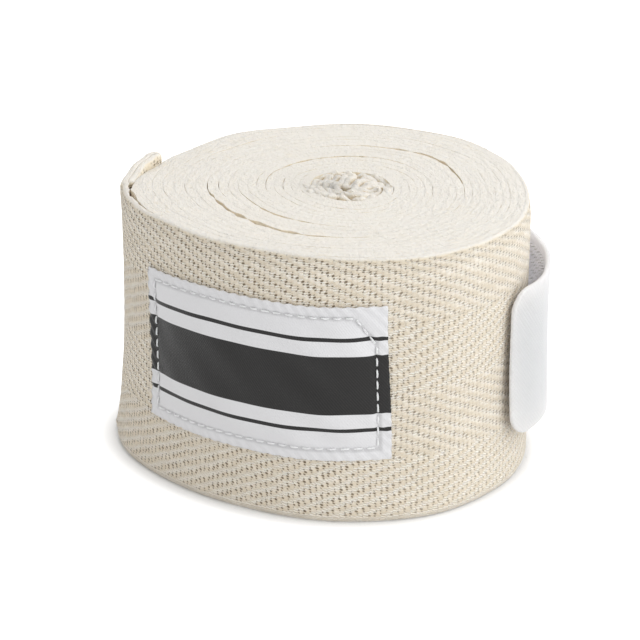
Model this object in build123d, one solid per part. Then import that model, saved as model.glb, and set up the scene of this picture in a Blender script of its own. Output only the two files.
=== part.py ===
from build123d import *
import os
from math import atan2, cos, degrees, pi, radians, sin

import numpy as np

# A boxing hand wrap, rolled up for storage and standing on the edges of its tape.
# Millimetres.  +Z is up, along the roll's axis; +X is to the right; -Y is the front,
# where the label is.  Angles in a plan view turn counter-clockwise from +X.
# The origin ends up under the middle of the whole part's box, on its underside.

# ---- Tape -------------------------------------------------------------------------
tape_width = 50.0          # a two-inch wrap, so this is the height of the roll
tape_thickness = 0.95      # cotton herringbone tape
whole_turns = 18           # laps from the core to the last lap

# ---- Winding ----------------------------------------------------------------------
core_radius = 8.54         # middle of the tape in its first half turn
core_offset = 2.64         # the core sits this far to the right of the roll's middle
tight_gap = 0.49           # air between laps on the right, where the roll is tight
loose_gap = 0.70           # air between laps on the left
last_lap_rise = 1.7        # extra air under the last lap on the left

# ---- Hem at the tape's outer end ----------------------------------------------------
hem_length = 13.6          # doubled over and pressed flat
hem_radius = 26.0          # the last lap turns in again towards its end

# ---- Thumb loop at the tape's inner end ----------------------------------------------
loop_width = 46.0
loop_slack = 0.3           # air inside the flattened loop
loop_gap = 0.42            # air between the turns of the doubled strap
loop_lead = 45.0           # degrees of overlap with the tape's inner end
loop_half_turns = 3        # half turns rolled in after the first

# ---- Label ------------------------------------------------------------------------
label_length = 50.3
label_height = 28.7
label_thickness = 0.35
label_angle = 248.7        # middle of the label, a little left of the front
label_middle = 26.4        # height of its middle

# ---- Closure: hook tab and loop patch ---------------------------------------------------
tab_width = 28.0
tab_thickness = 1.1
tab_middle = 23.5          # height of the tab's and the patch's middle
tab_corner = 5.0           # rounding of the tab's free corners
tab_root_length = 8.6      # the part that is sewn to the hem
tab_end_angle = -36.5      # where the free end comes to, on the right
tab_side_rise = 2.2        # air under it at the roll's right-hand side
patch_length = 50.0
patch_width = 25.0
patch_thickness = 0.8
patch_corner = 3.0
patch_angle = 86.0         # middle of the patch, at the back

# ---- Sewing -----------------------------------------------------------------------
thread = 0.45
thread_sides = 5
stitch_length = 2.5
stitch_pitch = 3.3
seam_inset = 2.0           # from a piece's edge to its seam

# ---- Clearances ---------------------------------------------------------------------
sewn_gap = 0.05            # between pieces sewn together
cloth_gap = 0.3            # between cloths that can part
hinge_gap = 0.3            # between the tab's sewn root and its free length

FRONT_TURN = (0.0, -180.0)     # start angle and sweep of a half turn by the front
BACK_TURN = (180.0, -180.0)    # and of one by the back
sample_step = 0.5              # spacing of the points that measure a gap
same_length = 0.001            # two lengths this close are one


def on_circle(circle, angle):
    """The point of a circle (x, y, radius) at an angle in degrees."""
    x, y, radius = circle
    return x + radius * cos(radians(angle)), y + radius * sin(radians(angle))


def grown(arc, amount):
    """The arc (x, y, radius, start, sweep) that runs beside another, further out."""
    x, y, radius, start, sweep = arc
    return x, y, radius + amount, start, sweep


def edge(arc):
    x, y, radius, start, sweep = arc
    return CenterArc((x, y), radius, start, sweep)


def start_point(arc):
    return on_circle(arc[:3], arc[3])


def end_point(arc):
    return on_circle(arc[:3], arc[3] + arc[4])


def arc_length(arcs):
    return sum(radius * radians(abs(sweep)) for _, _, radius, _, sweep in arcs)


def upright(outline, low, height):
    """A solid with this plan outline, standing from one height over another."""
    return Pos(0, 0, low) * extrude(make_face(outline), amount=height, dir=(0, 0, 1))


def winding():
    """Middle line of the rolled tape, from the core outwards, without its hem.

    Each lap is a half turn by the front and one by the back.  Both cross the X axis
    square, so neighbours meet in line.  The laps lie closer on the right than on the
    left, which moves the core off the middle.
    """
    pitch_right = tape_thickness + tight_gap
    pitch_left = tape_thickness + loose_gap
    right = [core_radius + core_offset + pitch_right * lap for lap in range(whole_turns + 1)]
    left = [core_radius - core_offset + pitch_left * lap for lap in range(whole_turns + 1)]
    left[-1] += last_lap_rise
    arcs = []
    for lap in range(whole_turns + 1):
        arcs.append(half_turn(right[lap], left[lap], FRONT_TURN))
        if lap < whole_turns:
            arcs.append(half_turn(right[lap + 1], left[lap], BACK_TURN))
    return arcs


def half_turn(right, left, turn):
    """A half circle between two points of the X axis."""
    return ((right - left) / 2, 0.0, (right + left) / 2, *turn)


def hem_arc(last_lap):
    """The hem's middle line before it is doubled: on from the last lap's left end."""
    left = end_point(last_lap)[0]
    return left + hem_radius, 0.0, hem_radius, 180.0, -degrees(hem_length / hem_radius)


def cap(inner, outer, beyond):
    """A round end from one edge to the other, through a point beyond them."""
    return ThreePointArc(inner, beyond, outer)


def rolled_tape(arcs, hem):
    """The tape: a spiral band with a flat inner end, a doubled hem and a round fold."""
    half = tape_thickness / 2
    outside = [grown(arc, half) for arc in [*arcs, hem]]
    inside = [grown(arc, -half) for arc in arcs]
    folded = grown(hem, -half - tape_thickness)
    fold_middle = on_circle((hem[0], hem[1], hem[2] - half), hem[3] + hem[4])
    beyond = on_circle((*fold_middle, tape_thickness), hem[3] + hem[4] - 90)
    outline = [edge(arc) for arc in [*outside, *inside, folded]]
    outline.append(Line(start_point(inside[0]), start_point(outside[0])))
    outline.append(Line(end_point(inside[-1]), start_point(folded)))
    outline.append(cap(end_point(folded), end_point(outside[-1]), beyond))
    return upright(outline, 0, tape_width)


def loop_arcs(first_turn):
    """Middle line of the flattened thumb loop, rolled into the core.

    The strap starts under the tape's inner end and turns inwards.  Its first step is
    wider than half a pitch, so that the overlap clears the next turn too.
    """
    x, y, radius = first_turn[:3]
    half = tape_thickness + loop_slack / 2
    pitch = 2 * half + loop_gap
    radius = radius - tape_thickness / 2 - cloth_gap - half
    arcs = [(x, y, radius, -loop_lead, 180.0 + loop_lead)]
    step = pitch / (1 + cos(radians(loop_lead)))
    side = -1
    for _ in range(loop_half_turns):
        x, radius = x + side * step, radius - step
        arcs.append((x, y, radius, 180.0 if side < 0 else 0.0, 180.0))
        side, step = -side, pitch / 2
    return arcs


def round_band(arcs, half):
    """Outline of a band of even width about a line of arcs, with round ends."""
    first, last = arcs[0], arcs[-1]
    before = on_circle((*start_point(first), half), first[3] - 90)
    beyond = on_circle((*end_point(last), half), last[3] + last[4] + 90)
    outline = [edge(grown(arc, amount)) for arc in arcs for amount in (half, -half)]
    outline.append(cap(start_point(grown(first, -half)), start_point(grown(first, half)), before))
    outline.append(cap(end_point(grown(last, -half)), end_point(grown(last, half)), beyond))
    return outline


def thumb_loop_solid(arcs):
    """The closed strap: a round-ended band less the air inside the flattened loop."""
    low = (tape_width - loop_width) / 2
    strap = upright(round_band(arcs, tape_thickness + loop_slack / 2), low, loop_width)
    return strap - upright(round_band(arcs, loop_slack / 2), low, loop_width)


def sheet_on(arcs, thickness, middle, height):
    """A strip of cloth whose inner face follows the arcs, end to end."""
    outside = [grown(arc, thickness) for arc in arcs]
    outline = [edge(arc) for arc in [*arcs, *outside]]
    outline.append(Line(start_point(arcs[0]), start_point(outside[0])))
    outline.append(Line(end_point(arcs[-1]), end_point(outside[-1])))
    return upright(outline, middle - height / 2, height)


def round_corners(sheet, ends, thickness, radius):
    """Round the corners of a strip at the given ends, each an inner (x, y) point."""
    corners = []
    for line in sheet.edges().filter_by(GeomType.LINE):
        centre = line.center()
        for x, y in ends:
            near = (Vector(centre.X, centre.Y) - Vector(x, y)).length
            if abs(line.length - thickness) < same_length and near < thickness:
                corners.append(line)
    return fillet(corners, radius)


def arc_about(circle, middle, length):
    """The arc of a circle that runs this length, half each side of an angle."""
    sweep = degrees(length / circle[2])
    return (*circle, middle + sweep / 2, -sweep)


def tab_arcs(hem, back_turn):
    """Inner faces of the tab: its sewn root on the hem, and its free length.

    The free length leaves the hem in line and comes down until it touches a circle that
    clears the patch.  There it goes over into a second arc, which lifts to the right.
    Both arcs' centres are on the line from the touching point to the lap's own centre.
    """
    hem_end = hem[3] + hem[4]
    seat = (hem[0], hem[1], hem[2] + tape_thickness / 2 + sewn_gap)
    root_sweep = degrees(tab_root_length / seat[2])
    root = (*seat, hem_end + root_sweep, -root_sweep)
    normal = Vector(*on_circle((0, 0, 1), hem_end))
    lap_centre, lap_face = Vector(*back_turn[:2]), back_turn[2] + tape_thickness / 2
    over_patch = sewn_gap + patch_thickness + cloth_gap
    reach = lap_face + over_patch
    away = Vector(*on_circle(seat, hem_end)) - lap_centre
    hug = (away.dot(away) - reach ** 2) / 2 / (away.dot(normal) - reach)
    hug_centre = lap_centre + away - normal * hug
    inward = lap_centre - hug_centre
    touch = degrees(atan2(inward.Y, inward.X))
    lift = (tab_side_rise - over_patch) / (1 - cos(radians(touch)))
    lift_centre = lap_centre - inward.normalized() * lift
    hugging = (hug_centre.X, hug_centre.Y, hug, hem_end, touch - hem_end)
    lifting = (lift_centre.X, lift_centre.Y, reach + lift, touch, tab_end_angle - touch)
    return root, [hugging, lifting]


def parted(root, free):
    """Open the hinge gap between the root and the free length, half from each."""
    half = degrees(hinge_gap / 2 / root[2])
    x, y, radius, start, sweep = root
    root = (x, y, radius, start, sweep + half)
    x, y, radius, start, sweep = free[0]
    return root, [(x, y, radius, start - half, sweep + half), *free[1:]]


def stitch(circle, angle, height, standing):
    """One stitch of thread on a curved face: a short rod, upright or level."""
    x, y = on_circle((circle[0], circle[1], circle[2] + sewn_gap + thread / 2), angle)
    along = (0, 0, 1) if standing else (-sin(radians(angle)), cos(radians(angle)), 0)
    rod = extrude(RegularPolygon(thread / 2, thread_sides), amount=stitch_length / 2, both=True)
    return Plane(origin=(x, y, height), z_dir=along) * rod


def spread(length):
    """Even places along a seam, about its middle."""
    count = max(1, round(length / stitch_pitch))
    return [(place + 0.5) * length / count - length / 2 for place in range(count)]


def upright_seam(circle, angle, middle, height):
    """A standing row of stitches."""
    return [stitch(circle, angle, middle + place, True) for place in spread(height)]


def box_seam(arc, middle, height):
    """A seam all round a strip of cloth, inset from its edges."""
    circle = arc[:3]
    centre = arc[3] + arc[4] / 2
    run = circle[2] * radians(abs(arc[4])) - 2 * seam_inset
    rise = height - 2 * seam_inset
    turn = degrees(run / 2 / circle[2])
    stitches = []
    for side in (-1, 1):
        stitches += upright_seam(circle, centre + side * turn, middle, rise)
        for place in spread(run):
            angle = centre + degrees(place / circle[2])
            stitches.append(stitch(circle, angle, middle + side * rise / 2, False))
    return stitches


def line_points(arcs, step):
    """Points along a line of arcs, and how far along it each one lies."""
    points, travel, gone = [], [], 0.0
    for arc in arcs:
        length = arc_length([arc])
        places = np.arange(0, length, step)
        angles = np.radians(arc[3] + arc[4] * places / length)
        points.append(np.stack([arc[0] + arc[2] * np.cos(angles),
                                arc[1] + arc[2] * np.sin(angles)], axis=1))
        travel.append(gone + places)
        gone += length
    return np.concatenate(points), np.concatenate(travel)


def least_gap(arcs, thickness, tightest):
    """Least air between a band and itself, over points at least half a turn apart."""
    points, travel = line_points(arcs, sample_step)
    least = np.inf
    for point, place in zip(points, travel):
        others = points[np.abs(travel - place) > pi * tightest]
        if len(others):
            least = min(least, np.hypot(*(others - point).T).min())
    return least - thickness


# ---- The pieces -------------------------------------------------------------------------
laps = winding()
first_turn, last_back_turn, last_lap = laps[0], laps[-2], laps[-1]
hem = hem_arc(last_lap)
loop = loop_arcs(first_turn)
root_arc, free_arcs = parted(*tab_arcs(hem, last_back_turn))

wrap_tape = rolled_tape(laps, hem)
thumb_loop = thumb_loop_solid(loop)

lap_face = (*last_lap[:2], last_lap[2] + tape_thickness / 2)
label_arc = arc_about((*lap_face[:2], lap_face[2] + sewn_gap), label_angle, label_length)
label = sheet_on([label_arc], label_thickness, label_middle, label_height)

under_face = (*last_back_turn[:2], last_back_turn[2] + tape_thickness / 2)
patch_arc = arc_about((*under_face[:2], under_face[2] + sewn_gap), patch_angle, patch_length)
loop_patch = sheet_on([patch_arc], patch_thickness, tab_middle, patch_width)
loop_patch = round_corners(loop_patch, [start_point(patch_arc), end_point(patch_arc)],
                           patch_thickness, patch_corner)

tab_root = sheet_on([root_arc], tab_thickness, tab_middle, tab_width)
closure_tab = sheet_on(free_arcs, tab_thickness, tab_middle, tab_width)
closure_tab = round_corners(closure_tab, [end_point(free_arcs[-1])], tab_thickness, tab_corner)

hem_face = (*hem[:2], hem[2] + tape_thickness / 2)
hem_seam_angle = hem[3] - degrees((seam_inset + thread) / hem[2])
hem_stitches = upright_seam(hem_face, hem_seam_angle, tape_width / 2, tape_width - 2 * seam_inset)
label_stitches = box_seam(grown(label_arc, label_thickness), label_middle, label_height)
tab_stitches = box_seam(grown(root_arc, tab_thickness), tab_middle, tab_width)

pieces = {
    "wrap_tape": wrap_tape,
    "thumb_loop": thumb_loop,
    "label": label,
    "loop_patch": loop_patch,
    "tab_root": tab_root,
    "closure_tab": closure_tab,
    "hem_stitches": Compound(hem_stitches),
    "label_stitches": Compound(label_stitches),
    "tab_stitches": Compound(tab_stitches),
}

# ---- Origin, files and measures ---------------------------------------------------------
box = Compound(list(pieces.values())).bounding_box()
shift = Vector(-(box.min.X + box.max.X) / 2, -(box.min.Y + box.max.Y) / 2, -box.min.Z)

os.makedirs("parts", exist_ok=True)
for name, shape in pieces.items():
    export_step(Pos(*shift) * shape, f"parts/{name}.step")

tape_length = arc_length([*laps, hem]) + hem_length
loop_length = 2 * arc_length(loop)
print(f"tape {tape_length:.0f} mm cut length, {whole_turns} laps; thumb loop {loop_length:.0f} mm round")
print(f"least gap of the tape to itself {least_gap([*laps, hem], tape_thickness, core_radius):.3f} mm")
strap = 2 * tape_thickness + loop_slack
print(f"least gap of the loop to itself {least_gap(loop, strap, loop[-1][2]):.3f} mm")
print(f"hook tab {arc_length(free_arcs):.1f} mm free and {arc_length([root_arc]):.1f} mm sewn")
hinge = on_circle((*root_arc[:2], root_arc[2] + tab_thickness), hem[3] + hem[4])
print(f"tab hinge at {hinge[0] + shift.X:.4f}, {hinge[1] + shift.Y:.4f}")
foot = on_circle(last_lap[:3], -90)
print(f"base point at {foot[0] + shift.X:.4f}, {foot[1] + shift.Y:.4f}, size {box.size}")
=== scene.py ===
# %% [markdown]
# # A rolled hand wrap
#
# A hand wrap is one long cotton tape that a boxer winds round the hand. Here it is rolled
# up for the shelf: about eighteen laps, standing on the edges of the tape. A satin label
# is sewn to the last lap, and a hook tab at the tape's hemmed end closes on a patch of
# pile at the back. In this lesson every cloth is a band carried along a path, worked out
# with numpy, and the weave is a small recipe of shader nodes.
#
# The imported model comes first, because it fixes where each piece sits and what it turns on.

import bpy
import numpy as np
from mathutils import Matrix, Vector


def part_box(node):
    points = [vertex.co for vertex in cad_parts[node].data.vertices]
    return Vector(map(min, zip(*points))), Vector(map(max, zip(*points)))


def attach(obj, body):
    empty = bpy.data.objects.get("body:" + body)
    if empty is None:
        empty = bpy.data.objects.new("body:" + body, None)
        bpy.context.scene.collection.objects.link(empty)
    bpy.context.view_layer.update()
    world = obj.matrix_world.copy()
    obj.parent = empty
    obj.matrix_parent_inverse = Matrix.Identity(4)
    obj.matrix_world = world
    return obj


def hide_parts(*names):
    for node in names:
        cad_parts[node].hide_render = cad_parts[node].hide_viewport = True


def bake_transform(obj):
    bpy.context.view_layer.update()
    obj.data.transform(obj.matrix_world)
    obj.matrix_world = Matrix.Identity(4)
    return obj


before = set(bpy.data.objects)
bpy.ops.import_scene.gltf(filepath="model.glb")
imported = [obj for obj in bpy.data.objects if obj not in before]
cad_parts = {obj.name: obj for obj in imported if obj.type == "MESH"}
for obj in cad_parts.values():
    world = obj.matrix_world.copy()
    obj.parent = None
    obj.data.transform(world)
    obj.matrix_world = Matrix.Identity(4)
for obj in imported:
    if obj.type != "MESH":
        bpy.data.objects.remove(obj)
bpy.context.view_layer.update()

MM = 0.001

# %% [markdown]
# ## Measures
#
# The roll is not a true spiral. Each lap is a half circle by the front and one by the
# back, and the laps lie closer on the right than on the left. That moves the core to the
# right of the middle, as in a roll that was wound round the fingers and pulled tight.

# %% Measures of the roll
TAPE_WIDTH, TAPE_THICK, LAPS = 50 * MM, 0.95 * MM, 18
CORE_RIGHT, CORE_LEFT = 11.18 * MM, 5.90 * MM      # first crossings of the X axis
PITCH_RIGHT, PITCH_LEFT = 1.44 * MM, 1.65 * MM     # from lap to lap
LAST_RISE = 1.7 * MM                               # extra air under the last lap
HEM_RADIUS, HEM_LENGTH = 26 * MM, 13.6 * MM
HEM_END = np.pi - HEM_LENGTH / HEM_RADIUS          # angle on the hem's own circle
tape_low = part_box("wrap_tape")[0]
LAST_LEFT = CORE_LEFT + PITCH_LEFT * LAPS + LAST_RISE
LAST_RIGHT = CORE_RIGHT + PITCH_RIGHT * LAPS
MIDDLE = np.array([tape_low.x + LAST_LEFT + TAPE_THICK / 2,
                   tape_low.y + (LAST_LEFT + LAST_RIGHT) / 2 + TAPE_THICK / 2])
print("middle of the roll in mm", MIDDLE / MM)

# %% [markdown]
# ## Helpers for shapes
#
# A band of cloth has a long thin cross-section with soft edges. Carrying that ring of
# points along a path gives a closed skin, so one helper makes the tape, the thumb loop,
# the label and the hook tab. A second helper carries a small circle along many short
# paths at once, for stitches, hooks, pile and lint.


# %% Irregular waves
def ripple(x, y, lengths, seed):
    """Smooth irregular waves between about -1 and 1.

    Formula: the sum over some sine waves, each with its own length, direction and phase,
    over the square root of their number.
    """
    rng = np.random.default_rng(seed)
    total = 0.0
    for length in lengths:
        heading, phase = rng.uniform(0, 2 * np.pi, 2)
        along = x * np.cos(heading) + y * np.sin(heading)
        total = total + np.sin(2 * np.pi * along / length + phase)
    return total / np.sqrt(len(lengths))


def rise_and_fall(x, start, end):
    """A hump: 0 outside start..end, 1 in the middle. Formula: sin^2 of pi times the share gone."""
    return np.sin(np.pi * np.clip((x - start) / (end - start), 0, 1)) ** 2


def ease(x, start, end):
    """From 0 at start to 1 at end. Formula: 3 q^2 - 2 q^3 of the share gone q."""
    q = np.clip((x - start) / (end - start), 0, 1)
    return q * q * (3 - 2 * q)


def unit(vectors):
    """The same directions with length 1."""
    return vectors / np.linalg.norm(vectors, axis=-1, keepdims=True)


def run_along(points):
    """Distance along a line of points, from its first one."""
    return np.concatenate([[0], np.cumsum(np.linalg.norm(np.diff(points, axis=0), axis=1))])


def round_middle(x, y, z):
    """Points of the frame, from places in plan about the roll's middle and heights."""
    x, y, z = np.broadcast_arrays(x, y, z)
    return np.stack([x + MIDDLE[0], y + MIDDLE[1], z], -1)


# %% A closed skin from a grid of points
def as_object(name, points, faces, uv, material):
    """An object from points (n, 3), quads (k, 4) and one uv pair per point.

    The signed volume is the sum of (a x b) . c / 6 over the triangles. Where it comes out
    negative, the faces point inwards and are all turned.
    """
    a, b, c, d = (points[faces[:, i]] for i in range(4))
    volume = (np.cross(a, b) * c).sum() / 6 + (np.cross(a, c) * d).sum() / 6
    if volume < 0:
        faces = faces[:, ::-1]
    mesh = bpy.data.meshes.new(name)
    mesh.vertices.add(len(points))
    mesh.vertices.foreach_set("co", points.astype(np.float32).ravel())
    loops = faces.ravel()
    mesh.loops.add(len(loops))
    mesh.loops.foreach_set("vertex_index", loops.astype(np.int32))
    mesh.polygons.add(len(faces))
    mesh.polygons.foreach_set("loop_start", np.arange(0, len(loops), 4, dtype=np.int32))
    layer = mesh.uv_layers.new(name="cloth")
    mesh.update(calc_edges=True)
    layer.data.foreach_set("uv", uv[loops].astype(np.float32).ravel())
    mesh.polygons.foreach_set("use_smooth", np.ones(len(faces), bool))
    mesh.materials.append(material)
    thing = bpy.data.objects.new(name, mesh)
    bpy.context.scene.collection.objects.link(thing)
    print(f"{name}: {len(points)} points, {2 * len(faces)} triangles, {abs(volume) * 1e9:.0f} mm3")
    return thing


def grid_faces(rows, columns, closed_rows=False):
    """Quads of a grid whose columns close round; the ends of an open grid get fans."""
    index = np.arange(rows * columns).reshape(rows, columns)
    lower = index if closed_rows else index[:-1]
    upper = np.roll(index, -1, 0) if closed_rows else index[1:]
    quads = np.stack([lower, np.roll(lower, -1, 1), np.roll(upper, -1, 1), upper], -1)
    quads = quads.reshape(-1, 4)
    if closed_rows:
        return quads
    fans = []
    for row, turned in ((index[0], True), (index[-1], False)):
        half = columns // 2
        k = np.arange(half - 1)
        fan = np.stack([row[k], row[k + 1], row[columns - 2 - k], row[columns - 1 - k]], -1)
        fans.append(fan[:, ::-1] if turned else fan)
    return np.concatenate([quads, *fans])


def skin(name, points, u, v, material, closed_rows=False):
    """An object from a grid of points (rows, columns, 3) and the place (u, v) of each on the cloth."""
    rows, columns = points.shape[:2]
    uv = np.stack(np.broadcast_arrays(u, v), -1).reshape(-1, 2)
    return as_object(name, points.reshape(-1, 3), grid_faces(rows, columns, closed_rows), uv, material)


# %% The ring that a band of cloth is made of
def ring(places, cap_points, squareness=1.0):
    """Cross-section of a cloth band, once round.

    side is +1 on the outer face and -1 on the inner one, up goes 0 to 1 up the faces,
    and tip is how far into the rounded edge a point lies, -1 to 1. In the edge,
    side = |cos q|^p and tip = |sin q|^p with q from 0 to 180 degrees.
    """
    q = np.linspace(0, np.pi, cap_points + 2)[1:-1]
    cos, sin = np.sign(np.cos(q)) * np.abs(np.cos(q)) ** squareness, np.sin(q) ** squareness
    face = np.asarray(places, float)
    side = np.concatenate([np.ones_like(face), cos, -np.ones_like(face), -cos])
    up = np.concatenate([face, np.ones_like(q), face[::-1], np.zeros_like(q)])
    tip = np.concatenate([0 * face, sin, 0 * face, -sin])
    return side, up, tip


def band(centre, normal, shape, low, high, half, cap, push=0.0, lift=0.0):
    """Carries the ring along a path in plan.

    Formula: point = centre + normal * (side * half + push), height = low + cap +
    (high - low - 2 cap) * up + cap * tip + lift. Everything may change along the path
    (rows) and round the ring (columns).
    """
    side, up, tip = shape
    low, high = np.reshape(low, (-1, 1)), np.reshape(high, (-1, 1))
    out = side * half + push
    z = low + cap + (high - low - 2 * cap) * up + cap * tip + lift
    xy = centre[:, None, :] + normal[:, None, :] * out[..., None]
    z = np.broadcast_to(z, xy.shape[:2])
    return np.concatenate([xy, z[..., None]], -1)


# %% Many thin tubes at once
def tubes(name, paths, across, radius, sides, material):
    """Carries a small circle along many paths at once: paths (k, n, 3), across (k, 3).

    Formula: with t the path's direction and b = t x across, a point of the tube is
    path + radius * (cos q * across' + sin q * b), where across' = b x t.
    """
    k, n, _ = paths.shape
    t = unit(np.gradient(paths, axis=1))
    b = unit(np.cross(t, across[:, None, :]))
    a = np.cross(b, t)
    q = np.linspace(0, 2 * np.pi, sides, endpoint=False)
    circle = a[:, :, None] * np.cos(q)[:, None] + b[:, :, None] * np.sin(q)[:, None]
    radius = np.broadcast_to(radius, (k, n))
    points = paths[:, :, None] + radius[:, :, None, None] * circle
    first_point = np.arange(k) * n * sides
    faces = (grid_faces(n, sides)[None] + first_point[:, None, None]).reshape(-1, 4)
    share_along, share_round = np.arange(n)[None, :, None] / n, q[None, None, :] / 6.3
    uv = np.stack(np.broadcast_arrays(share_along, share_round), -1)
    uv = np.broadcast_to(uv, (k, n, sides, 2)).reshape(-1, 2)
    return as_object(name, points.reshape(-1, 3), faces, uv, material)


# %% [markdown]
# ## Finishes
#
# Five finishes cover the whole object: undyed cotton, white satin, white hook tape, pile
# and thread. Two effects are used by more than one of them, so each is a node group that
# is built once. The herringbone group turns a place on the cloth, in metres along and up
# it, into the relief of the yarns, the dark pores between them and a tone for each yarn,
# which is also darker where the relief is low: painted shade in the grooves.
# The nap group adds what every cloth has: uneven tone and a fine fuzz. To keep the
# formulas readable, a small class lets sockets be added and multiplied like numbers.

# %% Formulas made of nodes
class Field:
    """A socket that can be used in a formula: every operation adds one Math node."""

    def __init__(self, tree, socket):
        self.tree, self.socket = tree, socket

    def math(self, operation, *others):
        node = self.tree.nodes.new("ShaderNodeMath")
        node.operation = operation
        for slot, value in zip(node.inputs, (self, *others)):
            fill(self.tree, slot, value)
        return Field(self.tree, node.outputs[0])

    def __add__(self, other):
        return self.math("ADD", other)

    def __sub__(self, other):
        return self.math("SUBTRACT", other)

    def __mul__(self, other):
        return self.math("MULTIPLY", other)

    def __truediv__(self, other):
        return self.math("DIVIDE", other)

    def turned_over(self, full=1.0):
        """What is missing to the full value."""
        return self * -1.0 + full

    def smooth(self, start, end, low=0.0, high=1.0):
        """From low to high as the value goes from start to end, eased at both."""
        node = add(self.tree, "ShaderNodeMapRange", {
            "Value": self, "From Min": start, "From Max": end, "To Min": low, "To Max": high},
            interpolation_type="SMOOTHSTEP")
        return Field(self.tree, node.outputs["Result"])


def fill(tree, slot, value):
    """Links a field or socket to a slot, or sets a plain value on it."""
    socket = getattr(value, "socket", value)
    if isinstance(socket, bpy.types.NodeSocket):
        tree.links.new(socket, slot)
    else:
        slot.default_value = socket


def add(tree, kind, slots=None, **settings):
    """A new node with its settings made and its inputs filled."""
    node = tree.nodes.new(kind)
    for name, value in settings.items():
        setattr(node, name, value)
    for name, value in (slots or {}).items():
        fill(tree, node.inputs[name], value)
    return node


def fields_of(tree, vector):
    """The three coordinates of a vector socket, each as a field."""
    parts = add(tree, "ShaderNodeSeparateXYZ", {0: vector})
    return [Field(tree, socket) for socket in parts.outputs]


def noise(tree, place, scale, detail=2.0, roughness=0.5):
    """A noise of about -1 to 1 at a place, with so many lumps to the metre."""
    node = add(tree, "ShaderNodeTexNoise", {
        "Vector": place, "Scale": scale, "Detail": detail, "Roughness": roughness})
    return (Field(tree, node.outputs["Fac"]) - 0.5) * 2.0


def blend_colour(tree, share, first, second):
    """A colour between two others."""
    node = add(tree, "ShaderNodeMix", data_type="RGBA")
    fill(tree, node.inputs[0], share)
    fill(tree, node.inputs[6], first)
    fill(tree, node.inputs[7], second)
    return node.outputs[2]


def shaded(colour, *shares):
    """A colour multiplied by a share, or by one for each of its three channels."""
    shares = shares * 3 if len(shares) == 1 else shares
    return [share * channel for share, channel in zip(shares, colour)] + [1]


# %% The herringbone group
LONG_YARN, CROSS_YARN, BAND = 0.47 * MM, 1.04 * MM, 12.5 * MM
PORE_ALONG, PORE_UP = 0.30 * MM, 0.25 * MM         # an oval pore's half width and height


def new_group(name, inputs, outputs):
    """An empty node group with the given inputs (name, kind, default) and float outputs."""
    group = bpy.data.node_groups.new(name, "ShaderNodeTree")
    for label, kind, default in inputs:
        socket = group.interface.new_socket(name=label, in_out="INPUT", socket_type=kind)
        if default is not None:
            socket.default_value = default
    for label in outputs:
        group.interface.new_socket(name=label, in_out="OUTPUT", socket_type="NodeSocketFloat")
    return group, group.nodes.new("NodeGroupInput"), group.nodes.new("NodeGroupOutput")


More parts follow.
